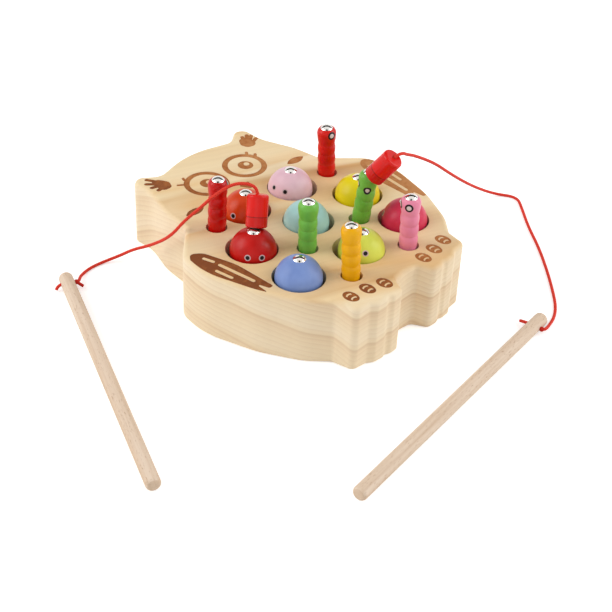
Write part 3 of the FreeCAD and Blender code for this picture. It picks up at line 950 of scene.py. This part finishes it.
@dataclass
class FishingLine:
    """A knitted cord from its capsule, through its rod, to its tail.

    Its wales are the columns of stitches round it. The sink is the share of the knit's relief that
    lies under the cord's radius.
    """

    side: Side
    route: Tuple[Point, ...]
    leaves_rod: Point
    length: float
    yarn: Material
    diameter: float = 2.0
    knit_relief: float = 0.10
    knit_pitch: float = 1.5
    knit_sink: float = 0.6
    wales: int = 4
    ring_points: int = 20
    step: float = 0.3
    spline_order: int = 3
    spline_steps: int = 16

    def centreline(self) -> List[Vector]:
        """Read the cord's line from a smooth spline with the route's points as its controls.

        Returns:
            Points along the line, in metres.
        """
        curve = bpy.data.curves.new(named("line", self.side), "CURVE")
        curve.dimensions = "3D"
        curve.resolution_u = self.spline_steps
        spline = curve.splines.new("NURBS")
        spline.points.add(len(self.route) - 1)
        for point, place in zip(spline.points, self.route):
            point.co = (*metres(place), 1.0)
        spline.order_u = self.spline_order
        spline.use_endpoint_u = True
        holder = placed(named("line", self.side), curve)
        bpy.context.view_layer.update()
        mesh = bpy.data.meshes.new_from_object(holder)
        points = [v.co.copy() for v in mesh.vertices]
        bpy.data.objects.remove(holder)
        bpy.data.meshes.remove(mesh)
        return points

    def sizes(self) -> Dict[str, Any]:
        """Give the tree's inputs, with lengths in metres."""
        return {"Radius": self.diameter / 2.0 * MM, "Relief": self.knit_relief * MM,
                "Pitch": self.knit_pitch * MM, "Step": self.step * MM,
                "Points Round": self.ring_points, "Yarn": self.yarn}

    def capture(self, sheet: NodeSheet, line: Socket, name: str, value: Socket) -> Any:
        """Keep a value of a curve's points while the curve becomes a tube.

        Args:
            sheet: The tree's node sheet.
            line: The curve's geometry socket.
            name: The value's name.
            value: The value's socket.

        Returns:
            Sockets of the curve and the kept value.
        """
        node = sheet.add("GeometryNodeCaptureAttribute", {0: line}, domain="POINT")
        node.capture_items.new("FLOAT", name)
        sheet.tree.links.new(value, node.inputs[1])
        return node.outputs

    def knitting(self) -> NodeTree:
        """Lay out the Geometry Nodes that knit a tube along a line.

        Returns:
            The node group, with inputs for radius, relief, pitch, step, points round and yarn.
        """
        sheet, given = growing(named("knitted_tube", self.side), self.sizes())
        line = sheet.first("GeometryNodeMeshToCurve", {"Mesh": given["Geometry"]})
        even = sheet.first("GeometryNodeResampleCurve", {"Curve": line, "Length": given["Step"]},
                           mode="LENGTH")
        circle = sheet.first("GeometryNodeCurvePrimitiveCircle", {
            "Resolution": given["Points Round"], "Radius": given["Radius"]})
        spot = sheet.add("GeometryNodeSplineParameter").outputs
        along = self.capture(sheet, even, "Along", spot["Length"])
        turn = self.capture(sheet, circle, "Turn", spot["Factor"])
        tube = sheet.first("GeometryNodeCurveToMesh", {
            "Curve": along[0], "Profile Curve": turn[0], "Fill Caps": True})
        courses = sheet.calc("DIVIDE", along[1], given["Pitch"])
        course = sheet.calc("COSINE", sheet.times(courses, 2.0 * math.pi))
        wale = sheet.calc("COSINE", sheet.times(turn[1], 2.0 * math.pi * self.wales))
        stitch = sheet.times(wale, course)
        knit = sheet.calc("ADD", 0.5, sheet.times(0.5, stitch))
        lift = sheet.times(sheet.calc("SUBTRACT", knit, self.knit_sink), given["Relief"])
        push = sheet.vector("SCALE", sheet.first("GeometryNodeInputNormal"), lift)
        raised = sheet.first("GeometryNodeSetPosition", {"Geometry": tube, "Offset": push})
        kept = sheet.first("GeometryNodeStoreNamedAttribute", {
            "Geometry": raised, "Name": "knit", "Value": knit}, data_type="FLOAT", domain="POINT")
        smooth = sheet.first("GeometryNodeSetShadeSmooth", {"Geometry": kept, "Shade Smooth": True})
        return sheet.wear(smooth, given["Yarn"])

    def build(self) -> None:
        name = named("knitted_cord", self.side)
        points = self.centreline()
        bare = bpy.data.meshes.new(name + "_line")
        edges = [(i, i + 1) for i in range(len(points) - 1)]
        bare.from_pydata([tuple(p) for p in points], edges, [])
        cord = grown(bare, self.knitting(), self.sizes(), name)
        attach(cord, "root")
        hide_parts(named("cord", self.side))
        dress(named("rod_knot", self.side), self.yarn)
        LOG.info("%s has %d faces", name, len(cord.data.polygons))


@dataclass(frozen=True)
class Lamp:
    """A soft square lamp that looks at the block.

    The way points from the block to the lamp; distance and side are in metres, the power in watts.
    """

    name: str
    way: Point
    distance: float
    side: float
    power: float

    def hang(self) -> None:
        """Hang the lamp where only its light is seen."""
        data = bpy.data.lights.new(self.name, "AREA")
        data.shape = "SQUARE"
        data.size = self.side
        data.energy = self.power
        lamp = placed(self.name, data)
        toward = Vector(self.way).normalized()
        lamp.location = toward * self.distance
        lamp.rotation_mode = "QUATERNION"
        lamp.rotation_quaternion = toward.to_track_quat("Z", "Y")
        lamp.visible_camera = False


@dataclass
class Studio:
    """Camera, lamps, floor and the dark cards that bright steel reflects.

    The camera's place is in millimetres, its lens too; the room's lengths are in metres and its
    angles in degrees.
    """

    eye: Point = (-560.5, -507.1, 530.6)
    sight: Point = (0.6024, 0.5329, -0.5942)
    level: Point = (0.6825, -0.7300, 0.0372)
    lens: float = 84.0
    base_light: float = 0.41
    flank_light: float = 0.44
    floor_half: float = 6.0
    floor_paint: Colour = (0.86, 0.86, 0.86, 1.0)
    floor_glow: float = 0.46
    dark: str = "#26231f"
    bar_away: float = 2.4
    bar_half_angle: float = 60.0
    bar_rises: Tuple[float, float] = (36.0, 65.0)
    boss_away: float = 1.6
    boss_tilt: float = 27.0
    boss_radius: float = 0.36
    boss_corners: int = 20

    def camera(self) -> None:
        """Set up the camera at the photograph's place and angle."""
        data = bpy.data.cameras.new("camera")
        data.lens = self.lens
        data.sensor_width = 36.0
        data.clip_start = 0.01
        data.clip_end = 50.0
        cam = placed("camera", data)
        ahead = Vector(self.sight).normalized()
        right = Vector(self.level)
        right = (right - ahead * right.dot(ahead)).normalized()
        up = right.cross(ahead)
        turn = Matrix((right, up, -ahead)).transposed()
        cam.matrix_world = Matrix.Translation(metres(self.eye)) @ turn.to_4x4()
        bpy.context.scene.camera = cam

    def world(self) -> None:
        """Set up a white surround, dimmer ahead and behind than at the camera's sides.

        The camera and mirrors see it at full white.
        """
        world = bpy.data.worlds.new("studio")
        bpy.context.scene.world = world
        world.use_nodes = True
        sheet = NodeSheet(world.node_tree)
        path = sheet.add("ShaderNodeLightPath").outputs
        seen = sheet.calc("MAXIMUM", path["Is Camera Ray"], path["Is Glossy Ray"])
        seen = sheet.calc("MAXIMUM", seen, path["Is Transmission Ray"])
        way = sheet.add("ShaderNodeTexCoord").outputs["Generated"]
        aside = sheet.calc("ABSOLUTE", sheet.vector("DOT_PRODUCT", way, self.level))
        flank = sheet.calc("MULTIPLY_ADD", aside, self.flank_light, self.base_light)
        strength = sheet.spread(seen, flank, 1.0)
        light = sheet.first("ShaderNodeBackground", {"Color": WHITE, "Strength": strength})
        sheet.add("ShaderNodeOutputWorld", {"Surface": light})

    def flat_piece(self, name: str, corners: Sequence[Sequence[float]],
                   title: str) -> Tuple[Object, NodeSheet]:
        """Lay one flat face of the studio and start its material.

        Args:
            name: The piece's name.
            corners: Its corners in metres, in order.
            title: Its material's name.

        Returns:
            The piece and its material's node sheet.
        """
        mesh = bpy.data.meshes.new(name)
        mesh.from_pydata([tuple(c) for c in corners], [], [tuple(range(len(corners)))])
        material, sheet = blank_material(title)
        mesh.materials.append(material)
        piece = placed(name, mesh)
        return piece, sheet

    def floor(self) -> None:
        """Lay a plain white floor that keeps the toy's soft shadow."""
        half = self.floor_half
        corners = [(-half, -half, 0), (half, -half, 0), (half, half, 0), (-half, half, 0)]
        sheet = self.flat_piece("floor", corners, "floor_white")[1]
        path = sheet.add("ShaderNodeLightPath").outputs
        seen = sheet.calc("MAXIMUM", path["Is Camera Ray"], path["Is Glossy Ray"])
        paint = sheet.first("ShaderNodeBsdfDiffuse", {"Color": self.floor_paint})
        strength = sheet.times(seen, self.floor_glow)
        glow = sheet.first("ShaderNodeEmission", {"Color": WHITE, "Strength": strength})
        sheet.show("ShaderNodeAddShader", {0: paint, 1: glow})

    def card(self, name: str, corners: Sequence[Sequence[float]]) -> None:
        """Hang a dark card that only mirrors see.

        Args:
            name: The card's name.
            corners: Its corners in metres, in order.
        """
        card, sheet = self.flat_piece(name, corners, name)
        sheet.show("ShaderNodeEmission", {"Color": self.dark, "Strength": 1.0})
        for sight in ("camera", "diffuse", "transmission", "shadow", "volume_scatter"):
            setattr(card, "visible_" + sight, False)

    def cards(self) -> None:
        """Hang a straight dark bar beyond the block and a small dark boss above it."""
        beyond = Vector((self.sight[0], self.sight[1], 0.0)).normalized()
        aside = Vector((-beyond.y, beyond.x, 0.0))
        half = self.bar_away * math.tan(math.radians(self.bar_half_angle))
        low, high = (Vector((0.0, 0.0, self.bar_away * math.tan(math.radians(rise))))
                     for rise in self.bar_rises)
        corners = ((1.0, low), (-1.0, low), (-1.0, high), (1.0, high))
        self.card("dark_bar", [beyond * self.bar_away + aside * half * way + rise
                               for way, rise in corners])
        tilt = math.radians(self.boss_tilt)
        centre = (Vector((0.0, 0.0, math.cos(tilt))) - beyond * math.sin(tilt)) * self.boss_away
        turns = [2.0 * math.pi * i / self.boss_corners for i in range(self.boss_corners)]
        ring = [(self.boss_radius * math.cos(t), self.boss_radius * math.sin(t), 0.0)
                for t in turns]
        self.card("dark_boss", [centre + Vector(spot) for spot in ring])

    def build(self) -> None:
        """Set up the whole studio."""
        self.camera()
        self.world()
        for lamp in LAMPS:
            lamp.hang()
        self.floor()
        self.cards()
        bpy.context.scene.view_settings.view_transform = "Standard"


LAMPS = (
    Lamp("left_lamp", (-0.62, 0.55, 0.54), 2.3, 1.5, 26.5),
    Lamp("right_lamp", (0.58, -0.60, 0.56), 2.3, 1.4, 22.5),
    Lamp("low_lamp", (-0.80, -0.55, 0.22), 2.2, 1.4, 3.2),
)

BIRDS = (
    DomedBird("pink", "#e3bfc9", "#dab2be", ((171.8, 22.7), (-151.1, 21.7))),
    DomedBird("orange", "#d3430c", "#c73808", ((-169.0, 15.4),)),
    DomedBird("red", "#c2110a", "#ae0c06", ((-149.7, 14.0), (-113.7, 13.3))),
    DomedBird("cyan", "#abd8d4", "#9dcdca"),
    DomedBird("yellow", "#e4d013", "#d9c40a"),
    DomedBird("blue", "#7d95cc", "#7088c0"),
    DomedBird("lime", "#d6dd58", "#cad147", ((-129.4, 27.3),)),
    DomedBird("crimson", "#d23454", "#c32546", ((130.9, 18.4),)),
)

WORMS = (
    RingedWorm("red_left", "#c80a05", "#b60603", ((-43.27, 18.15, 76.2),)),
    RingedWorm("red_back", "#d2170d", "#c21008", ((45.9, 13.9, 75.8),)),
    RingedWorm("green_upright", "#70b64a", "#63aa3e"),
    RingedWorm("green_leaning", "#75b345", "#65a638", ((20.8, -38.6, 68.9), (20.9, -30.5, 71.3))),
    RingedWorm("yellow", "#ecad02", "#e2a001"),
    RingedWorm("pink", "#e98ba6", "#e07c97", ((16.9, -74.5, 74.8), (17.83, -67.34, 74.5))),
)

BIRD_TOP = 57.74
BIRD_STANDS = tuple(Stand((x, y, BIRD_TOP)) for x, y in (
    (18.47, 23.43), (-21.5, 24.1), (-48.65, -9.75), (-2.73, -10.67), (43.7, -12.1),
    (-50.0, -48.8), (-1.69, -55.5), (43.26, -51.86)))

WORM_STANDS = (
    Stand((-47.48, 21.94, 79.19), (0.0142, -0.0152, 0.9998)),
    Stand((47.24, 19.87, 79.14), (-0.0546, 0.0039, 0.9985)),
    Stand((-26.15, -32.66, 79.16), (-0.0406, -0.0176, 0.999)),
    Stand((26.0, -35.32, 78.95), (0.0741, -0.0792, 0.9941)),
    Stand((-26.69, -67.04, 79.13), (-0.0044, 0.057, 0.9984)),
    Stand((22.13, -71.49, 79.19), (-0.0132, 0.0141, 0.9998)),
)

CAPSULE_SEAMS = {
    Side.LEFT: ((-42.74, -6.45, 64.0), (0.3439, 0.2825, 0.8955)),
    Side.RIGHT: ((25.1, -43.85, 84.28), (0.2399, -0.5386, 0.8077)),
}

LEFT_ROUTE = (
    (-39.3, -3.63, 72.94), (-37.34, -2.01, 78.06), (-40.4, 1.7, 82.4), (-47.6, 9.2, 82.2),
    (-58.0, 14.4, 76.0), (-61.1, 22.4, 65.4), (-66.6, 31.7, 53.6), (-67.8, 43.8, 36.4),
    (-67.0, 63.2, 20.3), (-69.6, 77.0, 11.8), (-73.6, 86.2, 4.2), (-82.0, 91.6, 1.0),
    (-93.6, 92.4, 1.0), (-103.4, 89.2, 1.6), (-107.2, 85.6, 3.2), (-110.95, 82.07, 4.45),
    (-117.11, 85.06, 4.53), (-122.83, 87.83, 4.45), (-123.83, 88.43, 1.25),
)

RIGHT_ROUTE = (
    (27.5, -49.23, 92.34), (28.87, -52.31, 96.96), (34.9, -52.6, 96.3), (42.0, -49.9, 91.3),
    (54.9, -46.9, 83.9), (80.6, -43.2, 66.6), (99.6, -40.4, 51.1), (121.0, -37.1, 34.2),
    (142.3, -33.8, 18.5), (160.0, -31.9, 6.5), (169.7, -35.1, 1.2), (177.4, -47.6, 1.0),
    (168.3, -58.2, 1.0), (152.3, -75.3, 1.0), (136.0, -96.0, 1.0), (116.2, -117.3, 1.0),
    (95.8, -137.0, 1.0), (85.5, -144.9, 1.0), (77.0, -149.0, 1.0), (69.9, -151.0, 1.6),
    (64.7, -152.9, 3.3), (59.67, -153.62, 4.45), (58.87, -146.82, 4.53), (58.13, -140.51, 4.45),
    (60.23, -135.91, 1.75),
)


def main() -> None:
    """Build every sub-assembly in order."""
    logging.basicConfig(level=logging.INFO, format="%(name)s: %(message)s")
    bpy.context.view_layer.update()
    Studio().build()
    yarn = KnittedCord().make()
    FishingLine(Side.LEFT, LEFT_ROUTE, (-110.95, 82.07, 4.45), 197.0, yarn).build()
    FishingLine(Side.RIGHT, RIGHT_ROUTE, (59.67, -153.62, 4.45), 369.8, yarn).build()
    OwlBlock().build()
    for piece in BIRDS + WORMS:
        piece.build()
    plate = PlatedSteel().make()
    SteelTacks("bird_tacks", BIRD_STANDS, plate).build()
    SteelTacks("worm_tacks", WORM_STANDS, plate).build()
    FishingRod(Side.LEFT, -115.86).build()
    FishingRod(Side.RIGHT, -173.34).build()
    ferrite = SinteredMagnet().make()
    for side, (seam, axis) in CAPSULE_SEAMS.items():
        MagnetCapsule(side, seam, axis, ferrite, yarn).build()


if __name__ == "__main__":
    main()
